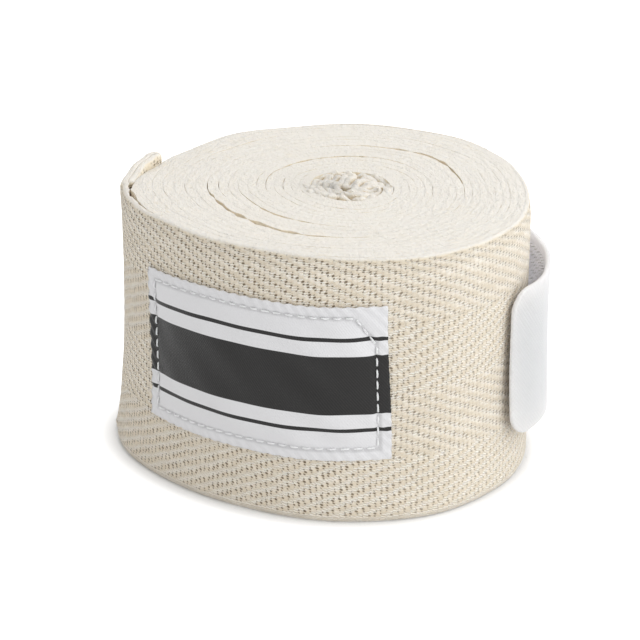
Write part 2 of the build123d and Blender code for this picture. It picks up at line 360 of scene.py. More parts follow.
def herringbone_group():
    """Relief, pores and tone of a two-and-two twill whose slant turns over in four bands.

    a and b count the cross and long yarns at a place, s is the slant, 1 or -1, and 90
    degrees is a quarter of the weave's repeat. The twist of a long yarn makes it lean in
    every cell, so its rows are counted by c = b - 0.65 s (fraction of a - 1/2). It lies on
    top where cos 90 (a + s floor c - 1) is high, a cross yarn where
    cos 90 (floor a + s b - 2.5 - s / 2) is high. Each yarn is round: its height is
    1 - (2 f - 1)^2 at the share f across it. The higher of the two shows. A pore is an oval
    at a corner between yarns, leaning against the slant. It is open where
    ((da - 0.6 s db) / 0.30 mm)^2 + (db / 0.25 mm)^2 is under its size, and its size is
    largest where 90 (a + s b) is 0, which lines the pores up on the slant.
    """
    group, given, out = new_group("herringbone", [
        ("Place", "NodeSocketVector", None), ("Long yarn", "NodeSocketFloat", LONG_YARN),
        ("Cross yarn", "NodeSocketFloat", CROSS_YARN), ("Band", "NodeSocketFloat", BAND),
        ("Waver", "NodeSocketFloat", 0.30 * MM)], ("Relief", "Pores", "Tone_and_shade"))
    place, *numbers = given.outputs[:5]
    long_yarn, cross_yarn, band_height, waver = [Field(group, socket) for socket in numbers]
    u, v, _ = fields_of(group, place)
    u = u + noise(group, place, 330.0) * waver
    v = v + noise(group, place, 210.0, 1.0) * waver
    slant = (v / band_height).math("FLOOR").math("FLOORED_MODULO", 2.0) * -2.0 + 1.0
    a, b = u / cross_yarn, v / long_yarn
    leaning = b - (a.math("FRACT") - 0.5) * slant * 0.65
    row, column = leaning.math("FLOOR"), a.math("FLOOR")

    def round_yarn(count):
        return (count.math("FRACT") * 2.0 - 1.0).math("POWER", 2.0).turned_over()

    def chances(first, second):
        """Three random numbers for each pair of whole numbers."""
        pair = add(group, "ShaderNodeCombineXYZ", {0: first, 1: second})
        random = add(group, "ShaderNodeTexWhiteNoise", {"Vector": pair.outputs[0]},
                     noise_dimensions="2D")
        three = add(group, "ShaderNodeSeparateColor", {0: random.outputs["Color"]})
        return [Field(group, socket) for socket in three.outputs]

    quarter = np.pi / 2
    selvage = v.smooth(2.1 * MM, 1.5 * MM)
    woven = selvage.turned_over()
    shift, yarn_tone, _ = chances(row, row * 0.0)
    over = ((a + shift * 0.35 + slant * row - 1.0) * quarter).math("COSINE")
    over = over + selvage * over.turned_over(0.3)
    cross_up = ((column + slant * b - slant * 0.5 - 2.5) * quarter).math("COSINE")
    high = round_yarn(leaning) * (over * 0.42 + 0.58) * (round_yarn(a + row * 0.5) * 0.36 + 0.64)
    cross = round_yarn(a) * (cross_up * 0.25 + 0.12) * woven
    rib = ((a + slant * b - 1.2) * quarter).math("COSINE") * 0.22
    relief = high.math("MAXIMUM", cross) + rib * woven

    near_a, near_b = a.math("ROUND"), b.math("ROUND")
    chance, nudge, _ = chances(near_a, near_b)
    down = (b - near_b) * long_yarn
    along = (a - near_a) * cross_yarn + (nudge - 0.5) * (0.34 * MM) - down * slant * 0.6
    oval = (along / PORE_ALONG).math("POWER", 2.0) + (down / PORE_UP).math("POWER", 2.0)
    phase = (near_a + slant * near_b) * quarter
    wanted = phase.math("COSINE") * 0.52 - phase.math("SINE") * slant * 0.10 + 0.37
    size = wanted * (chance * 1.1 + 0.50) + noise(group, place, 260.0, 1.0) * 0.22
    pores = oval.smooth(size, size * 0.2) * size.smooth(0.02, 0.40)
    lines = round_yarn(b).turned_over() * (noise(group, place, 400.0, 1.0) * 0.5 + 0.5)
    # the selvage's lines between its long yarns count as pores, which the cotton darkens as painted shade
    pores = pores + selvage * (lines * 0.6 - pores)
    fill(group, out.inputs["Relief"], relief * (pores * -0.6 + 1.0))
    fill(group, out.inputs["Pores"], pores)
    float_tone = chances(column, row)[0]
    # the tone output: random tone for each yarn and float, plus painted shade that darkens the yarn where the
    # relief is low
    fill(group, out.inputs["Tone_and_shade"], (float_tone + yarn_tone - 1.0) * 0.75 + relief * 2.4 - 1.2)
    return group


HERRINGBONE = herringbone_group()
print("herringbone group with", len(HERRINGBONE.nodes), "nodes")


# %% The nap group
def nap_group():
    """What all cloth has: a slow unevenness of tone, and a fine fuzz that catches the light.

    Formula: two noises of the object's own coordinates, one of centimetres and one of
    tenths of a millimetre.
    """
    group, given, out = new_group("nap", [
        ("Place", "NodeSocketVector", None), ("Fuzz size", "NodeSocketFloat", 0.4 * MM)], ("Mottle", "Fuzz"))
    place = given.outputs["Place"]
    slow = noise(group, place, 90.0, 3.0)
    fine = Field(group, given.outputs["Fuzz size"]).math("POWER", -1.0)
    fill(group, out.inputs["Mottle"], slow)
    fill(group, out.inputs["Fuzz"], noise(group, place, fine, 3.0, 0.6))
    return group


NAP = nap_group()


def use(tree, group, **values):
    """Places a group in a material and fills its inputs, whose names have _ for a blank."""
    node = add(tree, "ShaderNodeGroup", node_tree=group)
    for name, value in values.items():
        fill(tree, node.inputs[name.replace("_", " ")], value)
    return node


def start_finish(name, **sockets):
    """A new material, its tree, its shader, the cloth's own place and the object's coordinates."""
    material = bpy.data.materials.new(name)
    material.use_nodes = True
    tree = material.node_tree
    shader = tree.nodes["Principled BSDF"]
    for label, value in sockets.items():
        shader.inputs[label.replace("_", " ")].default_value = value
    cloth = add(tree, "ShaderNodeUVMap", uv_map="cloth").outputs[0]
    place = add(tree, "ShaderNodeTexCoord").outputs["Object"]
    return material, tree, shader, cloth, place


def relief_to(tree, shader, height, depth):
    """Turns a height of 0 to 1 into a bump so many metres deep."""
    bump = add(tree, "ShaderNodeBump", {"Height": height, "Distance": depth, "Strength": 1.0})
    fill(tree, shader.inputs["Normal"], bump.outputs[0])


# %% [markdown]
# ### Cotton
#
# The tape is undyed cotton. On its faces the yarns stand up, and painted shade darkens their
# grooves and the gaps between them, while on its edges there is only pale fuzz. So the finish
# fades from weave to fuzz over the last millimetre of the width, which the cloth coordinates
# give directly. The fuzz lies in strands round the roll, so its noise reads the angle and the
# radius, and it turns tan where that noise runs high. Just under the edges, down the inner
# laps' sides near their top and inside the hem, the tan is painted shade. On the right, the
# side that the lamps light, the pores fade: painted light.

# %% Cotton
INNER_LAPS = 2.385         # metres of tape in the laps that are covered by another
# past HEM_FOLD the hem's turned-in layer is tinted tan as painted shade
HEM_FOLD = 2.6235          # metres of tape up to the hem's fold, where its underside begins


def cotton(name, yarn, pore, fuzz, tan, depth):
    """Herringbone cotton: the colours of yarn, of the pores' painted shade, of pale fuzz, and a tan for
    painted shade and strands of fuzz.

    u runs along the tape and across is the distance from the middle of its width, both in
    metres. edge is 0 on the woven face and 1 on the fuzzy selvage, a little nearer to the
    middle on the laps inside the roll. depth is the height of the whole relief.
    """
    material, tree, shader, cloth, place = start_finish(
        name, Roughness=0.92, Sheen_Weight=0.15, Sheen_Roughness=0.5, Sheen_Tint=(1.0, 0.93, 0.80, 1),
        Specular_IOR_Level=0.2,
        Subsurface_Weight=0.3, Subsurface_Scale=0.0009, Subsurface_Radius=(1.0, 0.9, 0.75))
    weave = use(tree, HERRINGBONE, Place=cloth)
    nap = use(tree, NAP, Place=place)
    mottle, fuzzy = Field(tree, nap.outputs["Mottle"]), Field(tree, nap.outputs["Fuzz"])
    u, v, _ = fields_of(tree, cloth)
    across = (v - TAPE_WIDTH / 2).math("ABSOLUTE")
    lumps = noise(tree, place, 850.0, 2.0)
    # on the inner laps the fuzz and its tan painted shade reach 3.2 mm further down the sides, the walls of
    # the crevices
    inner = u.smooth(INNER_LAPS + 4 * MM, INNER_LAPS)
    edge = (across + lumps * (0.3 * MM) + inner * (3.2 * MM)).smooth(24.5 * MM, 25.2 * MM)

    # strands of fuzz round the roll: the noise reads the arc at 12 mm, the radius and the height
    middle = (MIDDLE[0], MIDDLE[1], 0)
    from_middle = add(tree, "ShaderNodeVectorMath", {0: place, 1: middle}, operation="SUBTRACT")
    x, y, z = fields_of(tree, from_middle.outputs[0])
    arc, radius = y.math("ARCTAN2", x) * (12 * MM), (x * x + y * y).math("SQRT")
    polar = add(tree, "ShaderNodeCombineXYZ", {0: arc, 1: radius, 2: z}).outputs[0]
    strands, wisps = noise(tree, polar, 1100.0, 3.0), noise(tree, polar, 2600.0, 2.0)

    # the woven face: yarns, tan painted shade in a band below the rim and inside the hem, and pores darkened
    # as painted shade
    # painted shade: the weave's tone darkens the yarn colour in its grooves, mixed with random tone
    tone = Field(tree, weave.outputs["Tone_and_shade"]) * 0.5 + mottle * 0.2 + 0.55
    warm = blend_colour(tree, tone, shaded(yarn, 0.77, 0.73, 0.66), yarn)
    # painted shade: tan on the hem's turned-in layer and in a band just below the rim
    turned_in = u.smooth(HEM_FOLD, HEM_FOLD + 3 * MM) * 0.7
    rim_and_hem_shade = turned_in.math("MAXIMUM", across.smooth(24.1 * MM, 24.7 * MM) * 0.5)
    warm = blend_colour(tree, rim_and_hem_shade, warm, shaded(tan, 0.85))
    # painted light: the pores fade towards the right, the side that the lamps light, so that side reads
    # lighter
    right_light_fade = x.smooth(-4 * MM, 30 * MM, 0.0, 0.40)
    open_pores = Field(tree, weave.outputs["Pores"]) * right_light_fade.turned_over(0.94)
    # painted shade: the pore colour darkens the gaps between yarns
    face = blend_colour(tree, open_pores, warm, pore)

    # the selvage: pale fuzz, tan where the strands' noise runs high, and tan painted shade under the edges
    between = (strands * 0.8 + wisps * 0.5 + mottle * 0.5).smooth(0.05, 0.95) * 0.45
    # painted shade: tan just below the top of the selvage, strongest on the inner laps' sides, plus the
    # strands' tan
    deep = across.smooth(25.2 * MM, 24.5 * MM) * 0.7 + between
    # painted shade: tan along the top of the hem's turned-in layer
    deep = deep.math("MAXIMUM", turned_in * across.smooth(25.28 * MM, 24.85 * MM))
    rim = blend_colour(tree, deep, fuzz, tan)
    fill(tree, shader.inputs["Base Color"], blend_colour(tree, edge, face, rim))

    beads = (u * (2 * np.pi / CROSS_YARN)).math("SINE") * 0.5 + 0.5
    fuzz_relief = beads * 0.10 + lumps * 0.35 + strands * 0.75 + wisps * 0.5
    relief = Field(tree, weave.outputs["Relief"]) * edge.turned_over() + fuzz_relief * edge
    relief_to(tree, shader, relief + fuzzy * (edge * 0.12 + 0.20), depth)
    return material


# pore is the colour of painted shade in the gaps between yarns; tan is painted shade under the edges and in
# the hem's fold, and also colours strands of the fuzz
tape_cotton = cotton("herringbone_cotton", yarn=(0.95, 0.887, 0.788, 1), pore=(0.16, 0.11, 0.06, 1),
                     fuzz=(0.83, 0.785, 0.715, 1), tan=(0.83, 0.72, 0.54, 1), depth=0.24 * MM)
print("cotton has", len(tape_cotton.node_tree.nodes), "nodes")

# %% [markdown]
# ### Satin, hook tape, pile and thread
#
# Satin is woven so that long floats lie side by side on a slant, which shows as fine
# diagonal lines and a soft gloss. The label bears no words: a plain charcoal stripe with a
# thin line each side is woven along it. Hook tape and pile are white nylon. Thread is a
# twist of fine yarns.

# %% Satin
LABEL_LENGTH, LABEL_HEIGHT, SEAM_INSET = 50.3 * MM, 28.7 * MM, 2.0 * MM
CORNER_CUT = 3.9 * MM                              # how far the seam cuts one corner across
STRIPE_HALF, LINE_FROM, LINE_TO, BLUR = 5.44 * MM, 8.1 * MM, 8.9 * MM, 0.08 * MM


def satin(name):
    """White ribbon satin with a stripe and two thin lines woven along it.

    away is the distance from the label's middle line, and rim that from the nearest edge
    or from the cut corner, so rim - SEAM_INSET is 0 along the seam, where the satin is
    drawn in, and greyed there with painted shade.
    """
    material, tree, shader, cloth, place = start_finish(
        name, Sheen_Weight=0.08, Sheen_Roughness=0.3, Specular_IOR_Level=0.28, Anisotropic=0.5)
    u, v, _ = fields_of(tree, cloth)
    nap = use(tree, NAP, Place=place, Fuzz_size=0.3 * MM)
    mottle, fuzzy = Field(tree, nap.outputs["Mottle"]), Field(tree, nap.outputs["Fuzz"])
    lines = ((u * 0.80 + v * 0.62) * (2 * np.pi / (0.42 * MM))).math("SINE") * 0.5 + 0.5
    away = (v - LABEL_HEIGHT / 2).math("ABSOLUTE")
    thin = away.smooth(LINE_FROM, LINE_FROM + BLUR) * away.smooth(LINE_TO, LINE_TO - BLUR)
    stripe = away.smooth(STRIPE_HALF + BLUR, STRIPE_HALF).math("MAXIMUM", thin)
    from_end = (u - LABEL_LENGTH / 2).math("ABSOLUTE").turned_over(LABEL_LENGTH / 2)
    rim = away.turned_over(LABEL_HEIGHT / 2).math("MINIMUM", from_end)
    rim = rim.math("MINIMUM", (u + v) * -0.707 + (LABEL_LENGTH + LABEL_HEIGHT) * 0.707 - CORNER_CUT)
    # painted shade: the satin greys along the seam's groove
    seam = (rim - SEAM_INSET).math("ABSOLUTE").smooth(0.6 * MM, 0.1 * MM) * 0.45
    white = blend_colour(tree, mottle * 0.3 + 0.5, (0.69, 0.685, 0.695, 1), (0.79, 0.785, 0.795, 1))
    white = blend_colour(tree, seam, white, (0.42, 0.415, 0.42, 1))
    dark = blend_colour(tree, lines, (0.006, 0.0055, 0.005, 1), (0.016, 0.015, 0.0145, 1))
    fill(tree, shader.inputs["Base Color"], blend_colour(tree, stripe, white, dark))
    fill(tree, shader.inputs["Roughness"], lines * 0.12 + 0.28)
    relief_to(tree, shader, lines * 0.35 + fuzzy * 0.6, 0.06 * MM)
    return material


# %% Nylon
def nylon(name, colour, yarn, depth, roughness, soft):
    """White nylon: a plain weave of fine yarns, with a little gloss.

    The weave is the product of two sine waves a yarn long. Four fifths of the light go
    into the cloth, `soft` metres deep, which keeps its folds from looking grey.
    """
    material, tree, shader, cloth, place = start_finish(
        name, Roughness=roughness, Sheen_Weight=0.15, Specular_IOR_Level=0.4,
        Subsurface_Weight=0.8, Subsurface_Scale=soft, Subsurface_Radius=(1.0, 0.95, 1.0))
    nap = use(tree, NAP, Place=place, Fuzz_size=0.5 * MM)
    mottle, fuzzy = Field(tree, nap.outputs["Mottle"]), Field(tree, nap.outputs["Fuzz"])
    waves = [(way * (2 * np.pi / yarn)).math("SINE") for way in fields_of(tree, cloth)[:2]]
    weave = waves[0] * waves[1] * 0.5 + 0.5
    tone = mottle * 0.35 + weave * 0.5 + 0.25
    fill(tree, shader.inputs["Base Color"], blend_colour(tree, tone, shaded(colour, 0.88), colour))
    relief_to(tree, shader, weave * 0.6 + fuzzy * 0.3, depth)
    return material


label_satin = satin("satin_ribbon")
tab_nylon = nylon("hook_tape", (0.815, 0.80, 0.84, 1), yarn=0.9 * MM, depth=0.12 * MM,
                  roughness=0.5, soft=7 * MM)
pile_nylon = nylon("loop_pile", (0.86, 0.855, 0.84, 1), yarn=0.3 * MM, depth=0.04 * MM,
                   roughness=0.7, soft=1 * MM)
white_thread = nylon("sewing_thread", (0.90, 0.90, 0.905, 1), yarn=0.4 * MM, depth=0.03 * MM,
                     roughness=0.5, soft=0.3 * MM)
print("finishes", [finish.name for finish in (tape_cotton, label_satin, tab_nylon, pile_nylon, white_thread)])

# %% [markdown]
# ## The tape
#
# The tape is the whole object, so it gets most of the care. Its middle line is worked out
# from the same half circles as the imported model, then three things make it cloth. The
# laps are pressed out of round together. Five crevices open at the top, where laps have
# slipped. And the selvages swell until neighbours just touch, which is why the top of a
# real roll looks like one pale fuzzy face with faint lines.

# %% The middle line of the roll
def on_roll(turn):
    """Centre x, radius and angle of the roll at a turn number, counted from the core.

    Even halves of a turn are half circles by the front and odd ones by the back. A half
    circle between crossings `right` and `left` has centre (right - left) / 2 and radius
    (right + left) / 2.
    """
    lap = np.floor(turn + 1e-9)
    back = (turn + 1e-9 - lap) >= 0.5
    right = CORE_RIGHT + PITCH_RIGHT * (lap + back)
    left = CORE_LEFT + PITCH_LEFT * lap + LAST_RISE * (lap >= LAPS)
    return (right - left) / 2, (right + left) / 2, -2 * np.pi * turn


def even_turns(start, end, step):
    """Turn numbers that are a step of cloth apart, by adding up the radius times the angle."""
    fine = np.linspace(start, end, 40001)
    length = np.concatenate([[0], np.cumsum(on_roll(fine[:-1])[1] * 2 * np.pi * np.diff(fine))])
    count = int(round(length[-1] / step))
    return np.interp(np.linspace(0, length[-1], count + 1), length, fine), length[-1]


turns, tape_run = even_turns(0.0, LAPS + 0.5, 1.22 * MM)
print(f"{len(turns)} steps along {tape_run * 1000:.0f} mm of tape")


# %% How the laps are pressed
CREVICES = [            # first turn, last turn, opening: where two laps have slipped apart
    (10.16, 10.545, 1.3 * MM), (8.66, 9.04, 1.2 * MM), (4.45, 4.98, 0.9 * MM),
    (13.55, 13.75, 0.4 * MM), (7.2, 7.5, 0.75 * MM)]
WIDEST = max(opening for start, end, opening in CREVICES)
HUMP, SQUEEZE, RIPPLE = 2.6 * MM, 3.4 * MM, 0.22 * MM     # how far the roll is out of round
CROWDED, SLUMP = 1.9 * MM, 1.2 * MM                       # pushed out on the left, in on the right


def out_of_round(turn, tall):
    """How far the whole roll is out of round at a turn and a share of the height.

    Formula, with q the plan angle and r the share of the full radius:
    HUMP r (1 - r^2) (0.15 + 0.6 cos q - 0.6 sin q - 1.05 cos 2q) + slow ripples
    + SQUEEZE r^2 sin^2 q cos q. The last term makes the right side full and the left one
    pointed, but for the height where the tab holds the back.
    """
    centre, radius, angle = on_roll(turn)
    share = radius / LAST_RIGHT
    cos, sin = np.cos(angle), np.sin(angle)
    out = HUMP * share * (1 - share ** 2) * (0.15 + 0.6 * cos - 0.6 * sin - 1.05 * np.cos(2 * angle))
    out = out + RIPPLE * ripple(centre + radius * cos, radius * sin, [0.021, 0.034, 0.05], 3)
    free = np.where(sin > 0, ease(tall, 0.77, 0.93) + 1 - ease(tall, 0.07, 0.17), 1.0)
    return out + SQUEEZE * sin ** 2 * cos * share ** 2 * free


def press(turn, height):
    """How far a lap is pushed out from its circle at a turn and a height.

    Out of round: as above. Crevices: half the opening inwards below the crevice and
    outwards above it, fading over six laps, and most of it near the top. Slack: the last
    half turn's extra air is taken out but for its last eighth, where the hem stands off.
    Flare: the last lap stands out at its top and bottom on the left, where the hem pulls
    it. Crowded: under the last lap the left side is pushed out towards the top. Slump:
    the right side is drawn in, but for its foot. Each part is a function of the plan
    position or of the turn, so neighbours move together.
    """
    tall = height / TAPE_WIDTH
    out = out_of_round(turn, tall)
    for start, end, opening in CREVICES:
        lap = np.floor(turn - start)
        width = rise_and_fall(turn - lap, start, end)
        side = np.where(lap <= 0, -np.exp(lap / 6), np.exp((1 - lap) / 6))
        out = out + 0.5 * opening * width * side * (0.15 + 0.85 * ease(tall, 0.82, 1.0))
    part = turn - LAPS
    slack = LAST_RISE * np.sin(np.pi * np.clip(part, 0, 0.5)) ** 2
    out = out - slack * (1 - ease(part, 0.375, 0.5)) * (part > 0)
    share, gone = on_roll(turn)[1] / LAST_RIGHT, turn % 1.0
    left, right = rise_and_fall(gone, 0.30, 0.70), rise_and_fall((turn + 0.5) % 1.0, 0.22, 0.78)
    flare = ((tall - 0.5) * 2) ** 2 * ease(turn, 17.6, 18.3) * (1.6 - 1.0 * ease(tall, 0.4, 0.6)) * MM
    crowded = CROWDED * ease(turn, 8.0, 16.9) * (turn < LAPS - 0.3) * ease(tall, 0.6, 1.0)
    slump = SLUMP * ease(tall, 0.08, 0.30) + (0.2 * ease(tall, 0.55, 1.0) - 0.35) * MM
    return out + (flare + crowded) * left - slump * right * share ** 3


def sway(x, y):
    """How far the roll's top stands up or sinks at a place in plan, in metres.

    Slow waves, less 0.45 mm times the eighth power of the share of the full radius, more
    at the back and at the back on the right, and a dip beside the hem.
    """
    share = np.hypot(x, y) / LAST_RIGHT
    waves = 0.16 * ripple(x, y, [0.012, 0.019, 0.031], 12)
    back = 0.5 * (np.maximum(y, 0) / LAST_RIGHT) ** 2 * share
    right = 0.5 * (np.maximum(0.5 * x + 0.866 * y, 0) / LAST_RIGHT) ** 2 * share
    dip = 1.05 * np.exp(-((x + 32 * MM) ** 2 + (y - 14 * MM) ** 2) / (9 * MM) ** 2)
    return (waves + back + right - dip - 0.45 * share ** 8) * MM


def top_rise(turn):
    """The height of a lap's top edge over 50 mm: the sway of its place and its own slight waves."""
    centre, radius, angle = on_roll(turn)
    waves = 0.02 * MM * ripple(turn, 0, [0.13, 0.21, 0.34, 0.9], 11)
    return sway(centre + radius * np.cos(angle), radius * np.sin(angle)) + waves


# %% How the selvages swell and open
MEETING = 0.502            # share of the gap to a neighbour that an edge fills: they just meet


def slip(turn):
    """How far the seam outside a lap has opened at its top, 0 to 1.

    Faint lines by chance, stronger in the inner laps, plus the crevices. Just before the
    hem, the seam under the last lap stands open.
    """
    chance = np.clip(ripple(turn, 0, [0.043, 0.083, 0.19, 0.53], 31), 0, 1)
    opened = (0.14 + 0.22 * ease(-turn, -5, -2)) * chance
    for start, end, opening in CREVICES:
        here = np.floor(turn - start) == 0
        opened = opened + here * rise_and_fall(turn, start, end) * opening / WIDEST
    opened = np.clip(opened, 0, 1) + 1.1 * ease(turn, LAPS - 0.60, LAPS - 0.51)
    return opened * (turn > 0) * (turn < LAPS - 0.5)


def selvage(turn):
    """Pairs of swelling and groove, in metres, for the tape's edge: its outer face, then its inner one.

    The edge swells half the way to the neighbour, so that the edges just meet. Where laps
    have slipped apart, a groove takes some of that away again at the very top, and its
    width changes like a rope's.
    """
    height = TAPE_WIDTH * 0.98

    def reach(t):
        return on_roll(t)[1] + press(t, height) + np.cos(on_roll(t)[2]) * on_roll(t)[0]

    after, before = reach(np.minimum(turn + 1, LAPS + 0.49)), reach(np.maximum(turn - 1, 0))
    outward = np.where(turn < LAPS - 0.5, after - reach(turn), 0.95 * MM)
    inward = np.where(turn > 1, reach(turn) - before, 2.5 * MM)
    rope = 0.135 * (1 + 0.6 * ripple(turn, 0, [0.010, 0.017, 0.037], 6))
    return [(np.clip(gap * MEETING, 0.47 * MM, 1.5 * MM)[:, None], (gap * opened * rope)[:, None])
            for gap, opened in ((outward, slip(turn)), (inward, slip(turn - 1)))]


# %% The hem's path
def hem_path():
    """The hem, row by row: its line, the way its rows face, their share of the rise, their turn.

    It leads on along the hem's circle, goes over a fold and comes back inside. The turn
    goes from 0 on the outer layer to 180 degrees on the inner one, which lies two spreads
    further in.
    """
    outer = np.linspace(0, 1, 18)[1:]
    fold = np.linspace(0, np.pi, 9)[1:-1]
    back = outer[::-1]
    gone = np.concatenate([outer, 1 + 0 * fold, back])
    turned = np.concatenate([0 * outer, fold, 0 * back + np.pi])
    q = np.pi - HEM_LENGTH / HEM_RADIUS * gone
    normal, tangent = np.stack([np.cos(q), np.sin(q)], 1), np.stack([np.sin(q), -np.cos(q)], 1)
    spread = 0.92 * MM
    inset = spread * (1 - np.cos(turned))
    ahead = np.concatenate([0 * outer, spread * np.sin(fold) * 1.6, 0 * back])
    line = np.array([HEM_RADIUS - LAST_LEFT, 0.0]) + normal * (HEM_RADIUS - inset)[:, None]
    facing = normal * np.cos(turned)[:, None] + tangent * np.sin(turned)[:, None]
    return line + tangent * ahead[:, None], facing, gone, turned, q


# %% The tape's skin
def tape_piece():
    """The tape in one skin: the roll, then the hem, which folds over and comes back inside."""
    shape = ring([0, .02, .05, .15, .35, .5, .7, .88, .95, .97, .982, .992, 1], 9, 0.25)
    side, up, tip = shape
    height = np.clip(up * TAPE_WIDTH, 0, TAPE_WIDTH)[None, :]
    edge = ease(np.abs(height - TAPE_WIDTH / 2), 21.0 * MM, 24.6 * MM)
    open_top = ease(height, 48.3 * MM, 50 * MM)

    # the roll: every lap thick enough to meet its neighbours at the edges
    centre, radius, angle = on_roll(turns)
    roll_facing = np.stack([np.cos(angle), np.sin(angle)], 1)
    roll_line = roll_facing * radius[:, None] + np.stack([centre, 0 * centre], 1)
    outer_half, inner_half = [TAPE_THICK / 2 + (swell - TAPE_THICK / 2) * edge - groove * open_top
                              for swell, groove in selvage(turns)]
    roll_half = (outer_half + inner_half) / 2
    roll_push = press(turns[:, None], height) + (outer_half - inner_half) / 2
    roll_top = TAPE_WIDTH - 0.05 * MM + top_rise(turns)
    roll_low = 0.06 * MM + 0.06 * MM * ripple(turns, 0, [0.31, 0.9, 1.7], 13)
    roll_low = np.clip(roll_low, 0.01 * MM, None)

    # the hem: it carries on the last lap's push and rises towards its fold
    hem_line, hem_facing, gone, turned, q = hem_path()
    hem_push = press(turns[-1:, None], height) * np.cos(turned)[:, None]
    hem_half = TAPE_THICK / 2 * np.ones((len(q), 1)) + 0.43 * MM * edge
    hem_top = roll_top[-1] + gone ** 1.6 * 1.5 * MM + 0.16 * MM * np.sin(23 * q)
    hem_low = roll_low[-1] + 0 * gone

    line, facing = np.concatenate([roll_line, hem_line]), np.concatenate([roll_facing, hem_facing])
    low, top = np.concatenate([roll_low, hem_low]), np.concatenate([roll_top, hem_top])
    half, push = np.concatenate([roll_half, hem_half]), np.concatenate([roll_push, hem_push])
    cap = np.concatenate([0.06 * MM + 0 * turns, 0.50 * MM + 0 * gone])[:, None]

    # the last lap's rim is worn round and its foot too; the laps inside lie flat on each other
    last = np.concatenate([ease(turns, LAPS - 0.52, LAPS - 0.45), 1 + 0 * gone])[:, None]
    worn, outside = last * ease(up, 0.94, 1.0), ease(side, -0.5, 1.0)
    foot = last * (1 - ease(height, 0, 1.0 * MM)) * outside
    push = push - 0.35 * MM * (worn * outside + foot)
    lift = (0.25 * foot - 0.6 * worn) * MM * np.maximum(side, 0) ** 2.5
    points = band(line, facing, shape, low, top, half, cap, push, lift)
    local_sway = sway(points[..., 0], points[..., 1]) - sway(*line.T)[:, None]
    points[..., 2] += local_sway * ease(up, 0.9, 1.0)
    points[..., :2] += MIDDLE

    along = run_along(line)
    cloth_v = up * (TAPE_WIDTH - 1.1 * MM) + 0.55 * MM + tip * 0.9 * MM
    # on the last lap's rounded rim the cloth coordinate is drawn down by up to 0.65 mm, which carries more of
    # the weave and of the painted shade below the rim onto the outer half of its top
    cloth_v = cloth_v - 0.65 * MM * worn * np.maximum(side, 0) ** 2 * tip
    return skin("tape", points, along[:, None], cloth_v, tape_cotton), along[-1]


tape, tape_length = tape_piece()
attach(tape, "roll")
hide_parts("wrap_tape")
print(f"the tape is {tape_length * 1000:.0f} mm long")

# %% [markdown]
# ## The thumb loop
#
# The tape starts with a loop for the thumb. Rolled up, the loop is pressed flat and lies
# crumpled in the core, which is the only place where the roll looks untidy from above. It
# is a closed band, so its path runs out along one layer, round the end and back along the
# other. Waves that grow towards the top fold it, and its top edge goes up and down.


# %% The thumb loop's path
def crumpled_line(step=0.2 * MM, soft=0.36 * MM):
    """The strap's middle line in plan, round once, about the core's middle.

    It is laid down as corners in polar form: once round the wall of the core, to and fro
    on the left, then in and out like a fan on the right. The runs between corners are
    divided evenly, and every point becomes the mean of its neighbours with the weight
    exp(-(d / soft)^2 / 2), which rounds the corners. Going round the closed line, that is
    a product of Fourier transforms.
    """
    def arc(radius, start, end, count):
        return [(radius, q) for q in np.linspace(start, end, count)]

    wall = [(7.35 + 0.95 * max(np.cos(np.radians(0.8 * (q - 45))), 0), q)
            for q in np.linspace(-72, 238, 24)]
    corners = wall + arc(6.15, 250, 112, 12) + arc(4.95, 100, 250, 12) + arc(3.75, 258, 112, 10)
    corners += arc(2.5, 120, 232, 6) + arc(1.5, 236, 140, 3)
    fan = [(4.2, 98), (6.3, 90), (6.5, 76), (1.7, 84), (1.3, 40), (6.7, 56), (6.7, 42), (1.8, 30),
           (1.6, -4), (6.7, 22), (6.6, 6), (2.1, -12), (1.9, -44), (6.4, -12), (6.2, -28), (2.4, -48),
           (2.5, -74), (6.1, -44), (6.1, -58), (3.4, -80), (3.5, -100), (6.1, -94), (6.1, -78)]
    radius, angle = np.array(corners + fan).T
    points = np.stack([np.cos(np.radians(angle)), np.sin(np.radians(angle))], 1) * radius[:, None] * MM
    points[:, 0] -= 0.35 * MM * np.exp(-(radius / 3.5) ** 2)
    loop = np.concatenate([points, points[:1]])
    run = run_along(loop)
    places = np.linspace(0, run[-1], int(run[-1] / step), endpoint=False)
    line = np.interp(places, run, loop[:, 0]) + 1j * np.interp(places, run, loop[:, 1])
    away = np.minimum(places, run[-1] - places)
    weight = np.exp(-(away / soft) ** 2 / 2)
    line = np.fft.ifft(np.fft.fft(line) * np.fft.fft(weight / weight.sum()))
    return np.stack([line.real, line.imag], 1)


